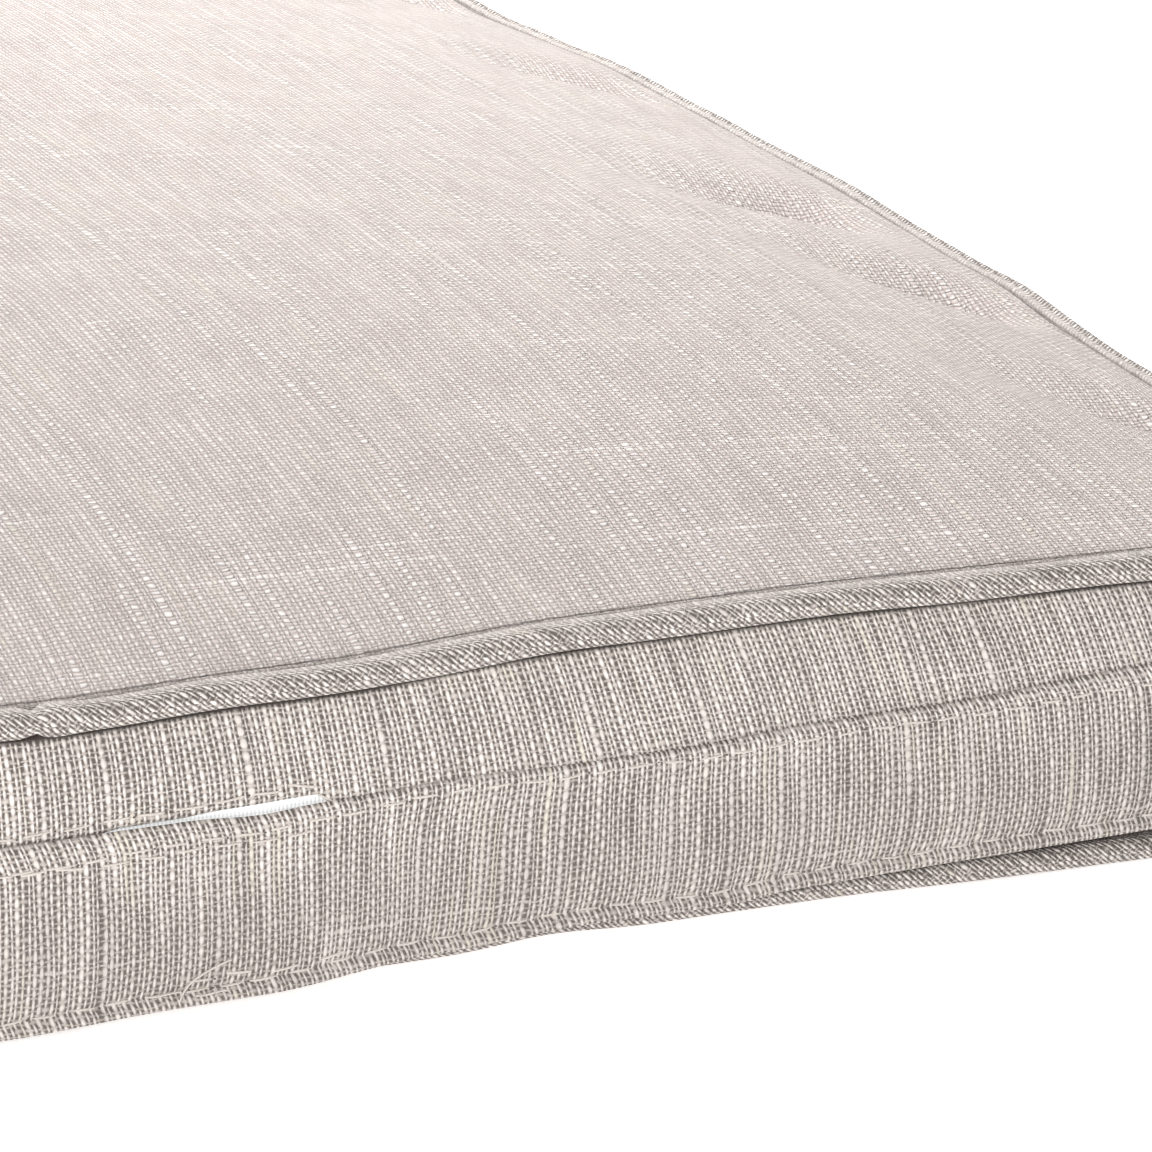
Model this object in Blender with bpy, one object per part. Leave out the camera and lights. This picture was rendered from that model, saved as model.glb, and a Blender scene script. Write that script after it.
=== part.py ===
"""A piped box cushion for a chair seat, lying flat on its underside.

The frame is +Z up, the origin is on the resting face under the middle of the cushion, and the
zip side faces -Y. Every length is in metres.

The cushion is sewn from a top and a bottom panel round one filling, a plain boxing strip on
three sides, two zip strips and a zip tape on the fourth, and a piping round each panel.
"""

import math

import bpy

# Driving sizes of the cushion.
SIDE = 0.400
CORNER_RADIUS = 0.022
SIDE_BOW = 0.005
CROWN = 0.021
CROWN_POWER = 3.5
CLOTH = 0.0012
CLEARANCE = 0.0003

# Seam heights: the panel seams lie on these levels, plus the waves in the tables below.
TOP_SEAM = 0.0440
BOTTOM_SEAM = 0.0026

# Piping: a covered cord that hangs a little over the boxing, with a lip at its seam.
PIPING_RADIUS = 0.0017
PIPING_OUT = 0.0013
PIPING_FROM_SEAM = 0.00176
PIPING_SIDES = 8
PIPING_LIP = 1.22
TOP_LIP_CORNER = 3
BOTTOM_LIP_CORNER = 5

# Boxing: how far its face sits from the seam line, at the seams and at mid height.
BOXING_AT_SEAM = -0.0014
BOXING_SWELL = 0.0038
BOXING_TUCK = 0.0014

# Panel rim: the allowance of each panel that covers the end of the boxing.
RIM_OUT = -0.0006
RIM_THICKNESS = 0.0010
RIM_STEP = 0.0001
BOTTOM_ROLL = 0.016
BOTTOM_ROLL_SHARE = 0.35

# Zip side: zip tape, and hem of the lower strip, which hangs clear of the boxing from HANG_SHARE
# of its depth on and thickens over HEM_BEND of its hem band.
ZIP_HALF_LENGTH = 0.176
ZIP_LINE = 0.0277
TAPE_HALF_LENGTH = 0.168
TAPE_WIDTH = 0.016
TAPE_THICKNESS = 0.0010
STRIP_STEP = 0.0017
HEM_BAND = 0.0021
HEM_EXTRA = 0.0004
HEM_OUT = 0.0051
HEM_END = 0.0092
HEM_END_RUN = 0.012
HEM_BEND = 0.4
HANG_SHARE = 0.8
PAD_RECESS_RUN = 0.006

# The hem stands out past the pipings, so the cushion's middle lies a little behind its seams'.
MIDDLE_SHIFT = 0.5 * (HEM_OUT + HEM_EXTRA - PIPING_OUT - PIPING_RADIUS)

# How the waves of the seams and the lower crown of the corners fade towards the middle.
WAVE_FROM = 0.72
WAVE_RUN = 0.20
WAVE_POWER = 6
CORNER_POWER = 4
PUCKER_ONSET = 0.25

# Steps of the meshes, and the shares of their widths or depths at which they are bent.
SIDE_STEPS = 26
CORNER_STEPS = 4
STRIP_STEPS = 40
BOXING_STEPS = 6
PANEL_RINGS = (0.97, 0.93, 0.88, 0.81, 0.70, 0.54, 0.34, 0.16)
WALL_LEVELS = (0.10, 0.30, 0.50, 0.70, 0.90)
UPPER_STRIP_LEVELS = (0.0, 0.15, 0.35, 0.60, 0.85, 1.0)
LOWER_STRIP_LEVELS = (0.0, 0.25, 0.50, 0.75, 1.0)
SHARP_DEGREES = 50.0

SIDES = {"front": -90.0, "right": 0.0, "back": 90.0, "left": 180.0}

# Waves of the seams: side, centre along the side, half width, rise.
TOP_WAVES = (
    ("front", -0.110, 0.045, 0.0006),
    ("front", 0.005, 0.016, -0.0007),
    ("front", 0.045, 0.012, -0.0003),
    ("front", 0.072, 0.020, 0.0010),
    ("front", 0.106, 0.025, 0.0010),
    ("front", 0.185, 0.030, -0.0006),
    ("right", -0.150, 0.040, -0.0005),
    ("right", -0.080, 0.014, 0.0009),
    ("right", 0.010, 0.070, 0.0012),
    ("right", 0.012, 0.020, -0.0006),
    ("right", 0.068, 0.014, 0.0007),
    ("right", 0.110, 0.014, -0.0005),
    ("back", -0.060, 0.060, 0.0008),
    ("left", 0.030, 0.070, 0.0010),
)
BOTTOM_WAVES = (
    ("front", 0.073, 0.010, 0.0007),
    ("front", 0.170, 0.050, -0.0020),
    ("right", 0.090, 0.060, -0.0008),
    ("back", 0.000, 0.080, -0.0010),
    ("left", -0.070, 0.060, -0.0008),
)

# Puckers of the top panel: side, place at the seam, slant along the side per metre inward,
# half width, length inward, depth.
PUCKERS = (
    ("right", 0.043, 0.25, 0.010, 0.040, 0.0014),
    ("right", -0.040, 0.10, 0.012, 0.050, 0.0022),
    ("right", -0.096, 0.70, 0.011, 0.044, 0.0017),
    ("right", -0.157, 0.80, 0.010, 0.040, 0.0014),
    ("right", 0.118, 0.20, 0.011, 0.036, 0.0011),
    ("back", -0.130, 0.30, 0.011, 0.038, 0.0012),
    ("back", -0.020, -0.20, 0.012, 0.042, 0.0014),
    ("back", 0.090, 0.10, 0.010, 0.036, 0.0011),
    ("left", -0.110, 0.20, 0.011, 0.040, 0.0013),
    ("left", 0.010, -0.30, 0.012, 0.044, 0.0015),
    ("left", 0.115, 0.20, 0.010, 0.036, 0.0011),
)

# Lower edge of the lower zip strip: place along the front, height of the hem.
HEM_LINE = (
    (-0.176, 0.0040),
    (-0.110, 0.0026),
    (-0.050, 0.0017),
    (-0.004, 0.0017),
    (0.020, 0.0026),
    (0.031, 0.0027),
    (0.055, 0.0046),
    (0.075, 0.0053),
    (0.097, 0.0049),
    (0.108, 0.0056),
    (0.130, 0.0059),
    (0.176, 0.0064),
)

# Folded edges of the zip strips: place along the front, height. The zip tape shows where the
# upper strip's edge is the higher one; elsewhere the lower strip laps over the upper one.
UPPER_FOLD = (
    (-0.176, 0.0232),
    (-0.060, 0.0232),
    (-0.036, 0.0258),
    (-0.003, 0.0262),
    (0.009, 0.0262),
    (0.020, 0.0266),
    (0.027, 0.0272),
    (0.040, 0.0275),
    (0.046, 0.0245),
    (0.056, 0.0232),
    (0.176, 0.0232),
)
LOWER_FOLD = (
    (-0.176, 0.0272),
    (-0.060, 0.0272),
    (-0.036, 0.0262),
    (0.000, 0.0259),
    (0.015, 0.0264),
    (0.022, 0.0264),
    (0.032, 0.0259),
    (0.041, 0.0264),
    (0.060, 0.0270),
    (0.077, 0.0265),
    (0.092, 0.0264),
    (0.110, 0.0271),
    (0.130, 0.0272),
    (0.160, 0.0286),
    (0.176, 0.0288),
)


def bump(distance, half_width):
    """A soft hill of height 1 that fades out over its half width."""
    return math.exp(-((distance / half_width) ** 2))


def ease(t):
    """A smooth step from 0 to 1."""
    t = min(max(t, 0.0), 1.0)
    return t * t * (3.0 - 2.0 * t)


def along_table(table, place):
    """A value read from rows of place and value, eased between the rows."""
    for (a, low), (b, high) in zip(table, table[1:]):
        if place <= b:
            return low + (high - low) * ease((place - a) / (b - a))
    return table[-1][1]


class Station:
    """A place on the seam line seen from above, with its outward direction."""

    def __init__(self, side, along, turn=0.0):
        half = SIDE / 2.0
        straight = half - CORNER_RADIUS
        angle = math.radians(SIDES[side])
        out = (math.cos(angle), math.sin(angle))
        run = (-out[1], out[0])
        self.side = side
        self.along = along
        self.bow = 0.0
        if turn:
            bend = math.radians(turn)
            reach = straight + CORNER_RADIUS * math.cos(bend)
            slide = straight + CORNER_RADIUS * math.sin(bend)
            facing = angle + bend
            self.out = (math.cos(facing), math.sin(facing))
        else:
            self.bow = SIDE_BOW * math.cos(0.5 * math.pi * along / straight) ** 2
            reach = half + self.bow
            slide = along
            self.out = out
        self.x = out[0] * reach + run[0] * slide
        self.y = out[1] * reach + run[1] * slide
        if turn:
            self.along = slide

    def point(self, outward, height):
        return (self.x + self.out[0] * outward, self.y + self.out[1] * outward, height)

    def waves(self, table):
        rise = 0.0
        for side, centre, half_width, height in table:
            angle = math.radians(SIDES[side])
            reach = self.x * math.cos(angle) + self.y * math.sin(angle)
            slide = -self.x * math.sin(angle) + self.y * math.cos(angle)
            near = ease((reach / (SIDE / 2.0) - WAVE_FROM) / WAVE_RUN)
            rise += height * near * bump(slide - centre, half_width)
        return rise

    def top(self):
        return TOP_SEAM + self.waves(TOP_WAVES)

    def bottom(self):
        return BOTTOM_SEAM + self.waves(BOTTOM_WAVES)

    def boxing_face(self, height):
        """How far the outer face of the boxing lies outside the seam line at a height."""
        low, high = self.bottom(), self.top()
        share = 2.0 * (height - low) / (high - low) - 1.0
        return BOXING_AT_SEAM + BOXING_SWELL * (1.0 - min(share * share, 1.0))

    def pad_face(self, height):
        """The filling's side: behind the boxing, and behind the zip tape on the zip side."""
        recess = CLOTH + CLEARANCE
        if self.side == "front" and abs(self.along) < ZIP_HALF_LENGTH:
            run = (ZIP_HALF_LENGTH - abs(self.along)) / PAD_RECESS_RUN
            recess += (TAPE_THICKNESS + 2.0 * CLEARANCE) * ease(run)
        return self.boxing_face(height) - recess


def stations_round():
    """The stations of the whole seam, anticlockwise from the front left corner."""
    straight = SIDE / 2.0 - CORNER_RADIUS
    found = []
    for side in SIDES:
        for step in range(SIDE_STEPS + 1):
            found.append(Station(side, straight * (2.0 * step / SIDE_STEPS - 1.0)))
        for step in range(1, CORNER_STEPS):
            found.append(Station(side, straight, 90.0 * step / CORNER_STEPS))
    return found


def crown_height(x, y, share):
    """Rise of the top panel over its seam, where share is 1 at the seam and 0 at the centre."""
    half = SIDE / 2.0

    def dome(u, v):
        return (1.0 - min(abs(u), 1.0) ** CROWN_POWER) * (1.0 - min(abs(v), 1.0) ** CROWN_POWER)

    at_seam = dome(x / share / half, y / share / half) if share > 0.0 else 0.0
    return CROWN * (dome(x / half, y / half) - at_seam * share**CORNER_POWER)


def pucker_depth(x, y):
    """How far the puckers along the top seam draw the panel down at a place."""
    depth = 0.0
    for side, centre, slant, half_width, length, deep in PUCKERS:
        angle = math.radians(SIDES[side])
        inward = SIDE / 2.0 - (x * math.cos(angle) + y * math.sin(angle))
        if not 0.0 <= inward <= length:
            continue
        slide = -x * math.sin(angle) + y * math.cos(angle)
        share = inward / length
        fade = ease(share / PUCKER_ONSET) * (1.0 - ease(share))
        depth += deep * fade * bump(slide - centre - slant * inward, half_width)
    return depth


def make_material(name, colour, roughness):
    material = bpy.data.materials.new(name)
    material.use_nodes = True
    shader = material.node_tree.nodes["Principled BSDF"]
    shader.inputs["Base Color"].default_value = (*colour, 1.0)
    shader.inputs["Roughness"].default_value = roughness
    shader.inputs["Metallic"].default_value = 0.0
    return material


def add_object(name, vertices, faces, material):
    mesh = bpy.data.meshes.new(name)
    mesh.from_pydata(vertices, [], faces)
    mesh.materials.append(material)
    mesh.shade_smooth()
    mesh.set_sharp_from_angle(angle=math.radians(SHARP_DEGREES))
    thing = bpy.data.objects.new(name, mesh)
    thing.location.y = MIDDLE_SHIFT
    bpy.context.scene.collection.objects.link(thing)
    return thing


def loft(rings, closed):
    """Vertices and quads through rings of equal count; closed joins the last ring to the first."""
    count = len(rings[0])
    vertices = [point for ring in rings for point in ring]
    faces = []
    for k in range(len(rings) if closed else len(rings) - 1):
        base = k * count
        after = (k + 1) % len(rings) * count
        for i in range(count):
            j = (i + 1) % count
            faces.append((base + i, base + j, after + j, after + i))
    return vertices, faces


def tube_along(stations, section):
    """A closed ring: the section of each station, joined all the way round."""
    rings = [section(station) for station in stations]
    return loft(rings, closed=True)


def strip_along(stations, section):
    """A strip with two ends: the section of each station, with both ends filled."""
    rings = [section(station) for station in stations]
    vertices, faces = loft(rings, closed=False)
    count = len(rings[0])
    last = (len(rings) - 1) * count
    faces.append(tuple(reversed(range(count))))
    faces.append(tuple(last + i for i in range(count)))
    return vertices, faces


def filled_pad(material):
    """Filling and both panels as one solid, flat where it rests and crowned on top."""
    stations = stations_round()
    rings = []
    for share in reversed(PANEL_RINGS):
        ring = []
        for station in stations:
            x, y, _ = station.point(RIM_OUT, 0.0)
            x, y = x * share, y * share
            z = station.top() + crown_height(x, y, share) - pucker_depth(x, y)
            mean = TOP_SEAM + crown_height(x, y, share) - pucker_depth(x, y)
            ring.append((x, y, mean + (z - mean) * share**WAVE_POWER))
        rings.append(ring)
    rings.append([s.point(RIM_OUT, s.top()) for s in stations])
    rings.append([s.point(RIM_OUT - CLEARANCE, s.top() - RIM_THICKNESS) for s in stations])
    high = [s.top() - RIM_THICKNESS - RIM_STEP for s in stations]
    rings.append([s.point(s.pad_face(h), h) for s, h in zip(stations, high)])
    for level in reversed(WALL_LEVELS):
        heights = [s.bottom() + level * (s.top() - s.bottom()) for s in stations]
        rings.append([s.point(s.pad_face(h), h) for s, h in zip(stations, heights)])
    low = [s.bottom() + RIM_THICKNESS + RIM_STEP for s in stations]
    rings.append([s.point(s.pad_face(h), h) for s, h in zip(stations, low)])
    rings.append([s.point(RIM_OUT - CLEARANCE, s.bottom() + RIM_THICKNESS) for s in stations])
    rings.append([s.point(RIM_OUT, s.bottom()) for s in stations])
    part_in = RIM_OUT - BOTTOM_ROLL_SHARE * BOTTOM_ROLL
    rings.append([s.point(part_in, BOTTOM_ROLL_SHARE * s.bottom()) for s in stations])
    rings.append([s.point(RIM_OUT - BOTTOM_ROLL - s.bow, 0.0) for s in stations])
    vertices, faces = loft(rings, closed=False)
    count = len(stations)
    crest = len(vertices)
    vertices.append((0.0, 0.0, TOP_SEAM + CROWN))
    faces = [tuple(reversed(face)) for face in faces]
    faces += [(crest, i, (i + 1) % count) for i in range(count)]
    last = (len(rings) - 1) * count
    faces.append(tuple(last + i for i in reversed(range(count))))
    return add_object("filled_pad", vertices, faces, material)


def piping(name, top, material):
    """Piping round one panel: a round cord in its cover, with a lip that runs to the seam."""
    stations = stations_round()
    lip = TOP_LIP_CORNER if top else BOTTOM_LIP_CORNER

    def section(station):
        if top:
            middle = station.top() - PIPING_FROM_SEAM
        else:
            middle = station.bottom() + PIPING_FROM_SEAM
        ring = []
        for k in range(PIPING_SIDES):
            angle = 2.0 * math.pi * k / PIPING_SIDES
            radius = PIPING_RADIUS * (PIPING_LIP if k == lip else 1.0)
            out = PIPING_OUT + radius * math.cos(angle)
            ring.append(station.point(out, middle + radius * math.sin(angle)))
        return ring

    vertices, faces = tube_along(stations, section)
    faces = [tuple(reversed(face)) for face in faces]
    return add_object(name, vertices, faces, material)


def sheet_section(station, levels, face):
    """A closed section: down the outer face through the levels, and back up inside."""
    outer = [station.point(face(h), h) for h in levels]
    inner = [station.point(face(h) - CLOTH, h) for h in reversed(levels)]
    return outer + inner


def plain_boxing(material):
    """Boxing of the other three sides, round from one end of the zip strips to the other."""
    straight = SIDE / 2.0 - CORNER_RADIUS
    end = ZIP_HALF_LENGTH + CLEARANCE
    around = stations_round()
    first = [s for s in around if s.side == "front" and s.along > straight + CLEARANCE]
    rest = [s for s in around if s.side != "front"]
    stations = [Station("front", end)] + [Station("front", straight)] + first + rest
    stations += [Station("front", -straight), Station("front", -end)]

    def section(station):
        high = station.top() - BOXING_TUCK
        low = station.bottom() + BOXING_TUCK
        levels = [high + (low - high) * k / BOXING_STEPS for k in range(BOXING_STEPS + 1)]
        return sheet_section(station, levels, station.boxing_face)

    vertices, faces = strip_along(stations, section)
    return add_object("plain_boxing", vertices, faces, material)


def zip_stations(half_length):
    steps = STRIP_STEPS
    return [Station("front", half_length * (2.0 * k / steps - 1.0)) for k in range(steps + 1)]


def upper_zip_strip(material):
    """Upper strip of the zip side: its lower edge is turned under and topstitched."""
    stations = zip_stations(ZIP_HALF_LENGTH)

    def section(station):
        high = station.top() - BOXING_TUCK
        low = along_table(UPPER_FOLD, station.along)
        levels = [high + (low - high) * share for share in UPPER_STRIP_LEVELS]
        return sheet_section(station, levels, station.boxing_face)

    vertices, faces = strip_along(stations, section)
    return add_object("upper_zip_strip", vertices, faces, material)


def lower_zip_strip(material):
    """Lower strip of the zip side: it laps over the zip and ends in a hem over the piping."""
    stations = zip_stations(ZIP_HALF_LENGTH)

    def section(station):
        high = along_table(LOWER_FOLD, station.along)
        end = ease((abs(station.along) - ZIP_HALF_LENGTH + HEM_END_RUN) / HEM_END_RUN)
        hem = along_table(HEM_LINE, station.along)
        low = hem + (HEM_END - hem) * end

        def face(height):
            drop = (high - height) / (high - low)
            lapped = station.boxing_face(max(height, 0.5 * TOP_SEAM)) + STRIP_STEP
            hanging = HEM_OUT + (station.boxing_face(low) + STRIP_STEP - HEM_OUT) * end
            thick = HEM_EXTRA * ease((low + HEM_BAND - height) / (HEM_BEND * HEM_BAND))
            return lapped + (hanging - lapped) * ease(drop / HANG_SHARE) + thick

        body = [high + (low + HEM_BAND - high) * share for share in LOWER_STRIP_LEVELS]
        levels = body + [low + (1.0 - HEM_BEND) * HEM_BAND, low]
        outer = [station.point(face(h), h) for h in levels]
        inner = [station.point(face(h) - CLOTH, h) for h in reversed(body)]
        foot = station.point(face(low) - CLOTH - HEM_EXTRA, low)
        return outer + [foot] + inner

    vertices, faces = strip_along(stations, section)
    return add_object("lower_zip_strip", vertices, faces, material)


def zip_tape(material):
    """Zip tape behind the lap, seen only where the two strips part."""
    stations = zip_stations(TAPE_HALF_LENGTH)

    def section(station):
        high = ZIP_LINE + 0.5 * TAPE_WIDTH
        low = ZIP_LINE - 0.5 * TAPE_WIDTH

        def back(height):
            return station.boxing_face(height) - CLOTH - CLEARANCE

        levels = (high, ZIP_LINE, low)
        outer = [station.point(back(h), h) for h in levels]
        inner = [station.point(back(h) - TAPE_THICKNESS, h) for h in reversed(levels)]
        return outer + inner

    vertices, faces = strip_along(stations, section)
    return add_object("zip_tape", vertices, faces, material)


def build():
    for thing in list(bpy.data.objects):
        bpy.data.objects.remove(thing, do_unlink=True)
    panel = make_material("panel_cloth", (0.60, 0.54, 0.50), 0.90)
    boxing = make_material("boxing_cloth", (0.56, 0.51, 0.46), 0.92)
    binding = make_material("piping_cloth", (0.50, 0.45, 0.41), 0.92)
    tape = make_material("zip_tape_cloth", (0.85, 0.86, 0.86), 0.80)
    filled_pad(panel)
    piping("top_piping", True, binding)
    piping("bottom_piping", False, binding)
    plain_boxing(boxing)
    upper_zip_strip(boxing)
    lower_zip_strip(boxing)
    zip_tape(tape)


build()
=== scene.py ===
"""The piped chair cushion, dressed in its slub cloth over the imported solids.

Everything is in metres, in the frame of the solids: +Z up, the zip side facing -Y. Sizes named
here repeat those of the solids, so each piece lies where its solid lies.
"""

import math
from functools import partialmethod

import bmesh
import bpy
import numpy as np
from mathutils import Matrix


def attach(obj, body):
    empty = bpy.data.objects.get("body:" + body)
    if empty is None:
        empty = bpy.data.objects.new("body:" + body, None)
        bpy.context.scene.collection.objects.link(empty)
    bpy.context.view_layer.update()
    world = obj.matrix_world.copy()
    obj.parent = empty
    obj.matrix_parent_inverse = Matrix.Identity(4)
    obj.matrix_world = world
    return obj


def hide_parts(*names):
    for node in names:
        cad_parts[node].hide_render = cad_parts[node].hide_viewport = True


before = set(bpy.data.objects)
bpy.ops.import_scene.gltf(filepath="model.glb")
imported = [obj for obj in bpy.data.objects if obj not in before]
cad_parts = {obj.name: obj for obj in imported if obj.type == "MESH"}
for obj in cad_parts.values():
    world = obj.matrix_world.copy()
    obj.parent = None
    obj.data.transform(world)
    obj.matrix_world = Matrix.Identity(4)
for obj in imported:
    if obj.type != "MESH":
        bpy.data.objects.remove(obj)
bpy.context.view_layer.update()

# Sizes of the cushion, as in its solids.
SIDE = 0.400
HALF = SIDE / 2.0
CORNER_RADIUS = 0.022
STRAIGHT = HALF - CORNER_RADIUS
SIDE_BOW = 0.005
CROWN = 0.021
CROWN_POWER = 3.5
TOP_SEAM = 0.0440
BOTTOM_SEAM = 0.0026
CLOTH = 0.0011
CLEARANCE = 0.0003
RIM_OUT = -0.0006
RIM_THICKNESS = 0.0010
BOTTOM_ROLL = 0.016
PIPING_RADIUS = 0.0017
PIPING_OUT = 0.0013
PIPING_FROM_SEAM = 0.00176
BOXING_AT_SEAM = -0.0014
BOXING_SWELL = 0.0038
BOXING_POWER = 3.2
BOXING_TUCK = 0.0014
ZIP_HALF_LENGTH = 0.176
ZIP_LINE = 0.0277
TAPE_HALF_LENGTH = 0.168
TAPE_WIDTH = 0.016
TAPE_THICKNESS = 0.0010
STRIP_STEP = 0.0009
STRIP_CLOTH = 0.0007
HEM_BAND = 0.0021
HEM_OUT = 0.0051
HEM_EXTRA = 0.0004
HEM_END = 0.0092
HEM_END_RUN = 0.012
PAD_RECESS_RUN = 0.006
MIDDLE_SHIFT = 0.5 * (HEM_OUT + HEM_EXTRA - PIPING_OUT - PIPING_RADIUS)

# Yarns of the cloth: the slub yarns run front to back and up the boxing.
SLUB_PITCH = 0.00077
CROSS_PITCH = 0.00078
PIPING_BIAS_DEGREES = 46.0
FLANGE_ANGLE = 141.0
LIP_PLACE = math.radians(FLANGE_ANGLE) * PIPING_RADIUS
PIPING_STRETCH = 1.18
PIPING_SLACK = 0.80

# Sewing: stitch length, thread and the rows' distances from their folds.
STITCH_PITCH = 0.0050
STITCH_LENGTH = 0.0044
STITCH_BOW = 0.00034
THREAD_RADIUS = 0.00017
HOLE_RADIUS = 0.00020
UPPER_ROW = 0.0013
HEM_ROW = 0.0021

# Camera, fitted to the seams and slub yarns of the photograph, whose frame is square.
PHOTO_WIDTH = 1152
LENS_PIXELS = 7500.0
SENSOR_MM = 36.0
CAMERA_AT = (-0.2963, -1.0390 + MIDDLE_SHIFT, 0.3426)
CAMERA_AZIMUTH = 0.4199
CAMERA_DROP = 0.3082
CAMERA_ROLL = 0.0124

FRONT, RIGHT, BACK, LEFT = range(4)

# Waves of the seams: side, centre along the side, half width, rise. They begin at a share of the
# half side from the middle and are whole a run further out, so that they stay on their own side.
WAVES_FROM = 0.72
WAVES_RUN = 0.20
TOP_WAVES = (
    (FRONT, -0.110, 0.045, 0.0006),
    (FRONT, 0.005, 0.016, -0.0007),
    (FRONT, 0.045, 0.012, -0.0003),
    (FRONT, 0.072, 0.020, 0.0010),
    (FRONT, 0.106, 0.025, 0.0010),
    (FRONT, 0.185, 0.030, -0.0006),
    (RIGHT, -0.150, 0.040, -0.0005),
    (RIGHT, -0.080, 0.014, 0.0009),
    (RIGHT, 0.010, 0.070, 0.0012),
    (RIGHT, 0.012, 0.020, -0.0006),
    (RIGHT, 0.068, 0.014, 0.0007),
    (RIGHT, 0.110, 0.014, -0.0005),
    (BACK, -0.060, 0.060, 0.0008),
    (LEFT, 0.030, 0.070, 0.0010),
)
BOTTOM_WAVES = (
    (FRONT, 0.073, 0.010, 0.0007),
    (FRONT, 0.170, 0.050, -0.0020),
    (RIGHT, 0.090, 0.060, -0.0008),
    (BACK, 0.000, 0.080, -0.0010),
    (LEFT, -0.070, 0.060, -0.0008),
)

# Puckers of the top panel: side, place at the seam, slant along the side per metre inward,
# half width, length inward, depth.
PUCKERS = (
    (RIGHT, 0.043, 0.25, 0.010, 0.040, 0.0014),
    (RIGHT, -0.040, 0.10, 0.012, 0.050, 0.0022),
    (RIGHT, -0.096, 0.70, 0.011, 0.044, 0.0017),
    (RIGHT, -0.157, 0.80, 0.010, 0.040, 0.0014),
    (RIGHT, 0.118, 0.20, 0.011, 0.036, 0.0011),
    (BACK, -0.130, 0.30, 0.011, 0.038, 0.0012),
    (BACK, -0.020, -0.20, 0.012, 0.042, 0.0014),
    (BACK, 0.090, 0.10, 0.010, 0.036, 0.0011),
    (LEFT, -0.110, 0.20, 0.011, 0.040, 0.0013),
    (LEFT, 0.010, -0.30, 0.012, 0.044, 0.0015),
    (LEFT, 0.115, 0.20, 0.010, 0.036, 0.0011),
)

# Lower edge of the lower zip strip: place along the front, height of the hem.
HEM_LINE = (
    (-0.176, 0.0040), (-0.110, 0.0026), (-0.050, 0.0017), (-0.004, 0.0017), (0.020, 0.0026),
    (0.031, 0.0027), (0.055, 0.0046), (0.075, 0.0053), (0.097, 0.0049), (0.108, 0.0056),
    (0.130, 0.0059), (0.176, 0.0064),
)

# Folded edges of the zip strips: place along the front, height. Where the lower strip's edge is
# the higher one, it laps over the upper strip.
UPPER_FOLD = (
    (-0.176, 0.0232), (-0.060, 0.0232), (-0.036, 0.0258), (-0.003, 0.0260), (0.009, 0.0261),
    (0.0135, 0.0267), (0.020, 0.0268), (0.027, 0.0272), (0.0405, 0.0275), (0.0425, 0.0245),
    (0.056, 0.0232), (0.176, 0.0232),
)
LOWER_FOLD = (
    (-0.176, 0.0272), (-0.060, 0.0272), (-0.036, 0.0262), (0.000, 0.0262), (0.015, 0.0264),
    (0.022, 0.0264), (0.032, 0.0259), (0.041, 0.0264), (0.060, 0.0270), (0.077, 0.0265),
    (0.092, 0.0264), (0.110, 0.0271), (0.130, 0.0272), (0.160, 0.0286), (0.176, 0.0288),
)

# Stitch rows of the lower strip: place along the front, distance below its folded edge.
LOWER_ROW = (
    (-0.176, 0.0030), (0.000, 0.0034), (0.020, 0.0026), (0.038, 0.0018), (0.062, 0.0015),
    (0.080, 0.0012), (0.100, 0.0017), (0.130, 0.0018), (0.160, 0.0026), (0.176, 0.0026),
)
SECOND_ROW = (
    (-0.176, 0.0036), (-0.060, 0.0027), (0.002, 0.0036), (0.012, 0.0038), (0.036, 0.0031),
    (0.176, 0.0031),
)

# Fine unevenness of the pieces: its height, and for each piece its wave length and seed.
RIPPLE = 0.0005
UPPER_RIPPLE = 0.0004
PAD_RIPPLES = (0.070, 3)
BOXING_RIPPLES = (0.055, 12)
UPPER_RIPPLES = (0.050, 21)
LOWER_RIPPLES = (0.045, 31)


def ease(t):
    """A smooth step from 0 to 1."""
    t = np.clip(t, 0.0, 1.0)
    return t * t * (3.0 - 2.0 * t)


def bump(distance, half_width):
    """A soft hill of height 1."""
    return np.exp(-((distance / half_width) ** 2))


def dent(distance, shape):
    """A soft dent, its shape given as depth and half width."""
    depth, half_width = shape
    return depth * bump(distance, half_width)


def along_table(table, place):
    """Values read from rows of place and value, eased between the rows."""
    place = np.asarray(place, float)
    value = np.full(place.shape, table[-1][1])
    for (a, low), (b, high) in reversed(list(zip(table, table[1:]))):
        value = np.where(place <= b, low + (high - low) * ease((place - a) / (b - a)), value)
    return value


def unevenness(x, y, size, seed):
    """Smooth made-up unevenness from -1 to 1, from a few crossed waves."""
    draw = np.random.default_rng(seed)
    total = np.zeros(np.broadcast(x, y).shape)
    for _ in range(7):
        angle, phase, stretch = draw.uniform(0.0, 2.0 * math.pi, 3)
        length = size * (0.6 + 0.9 * stretch / (2.0 * math.pi))
        total = total + np.sin((x * math.cos(angle) + y * math.sin(angle)) * 2.0 * math.pi / length + phase)
    return total / 4.0


def from_side(side, x, y):
    """How far places lie towards a side of the cushion, and how far along it."""
    angle = (side - 1) * 0.5 * math.pi
    return x * math.cos(angle) + y * math.sin(angle), y * math.cos(angle) - x * math.sin(angle)


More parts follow.
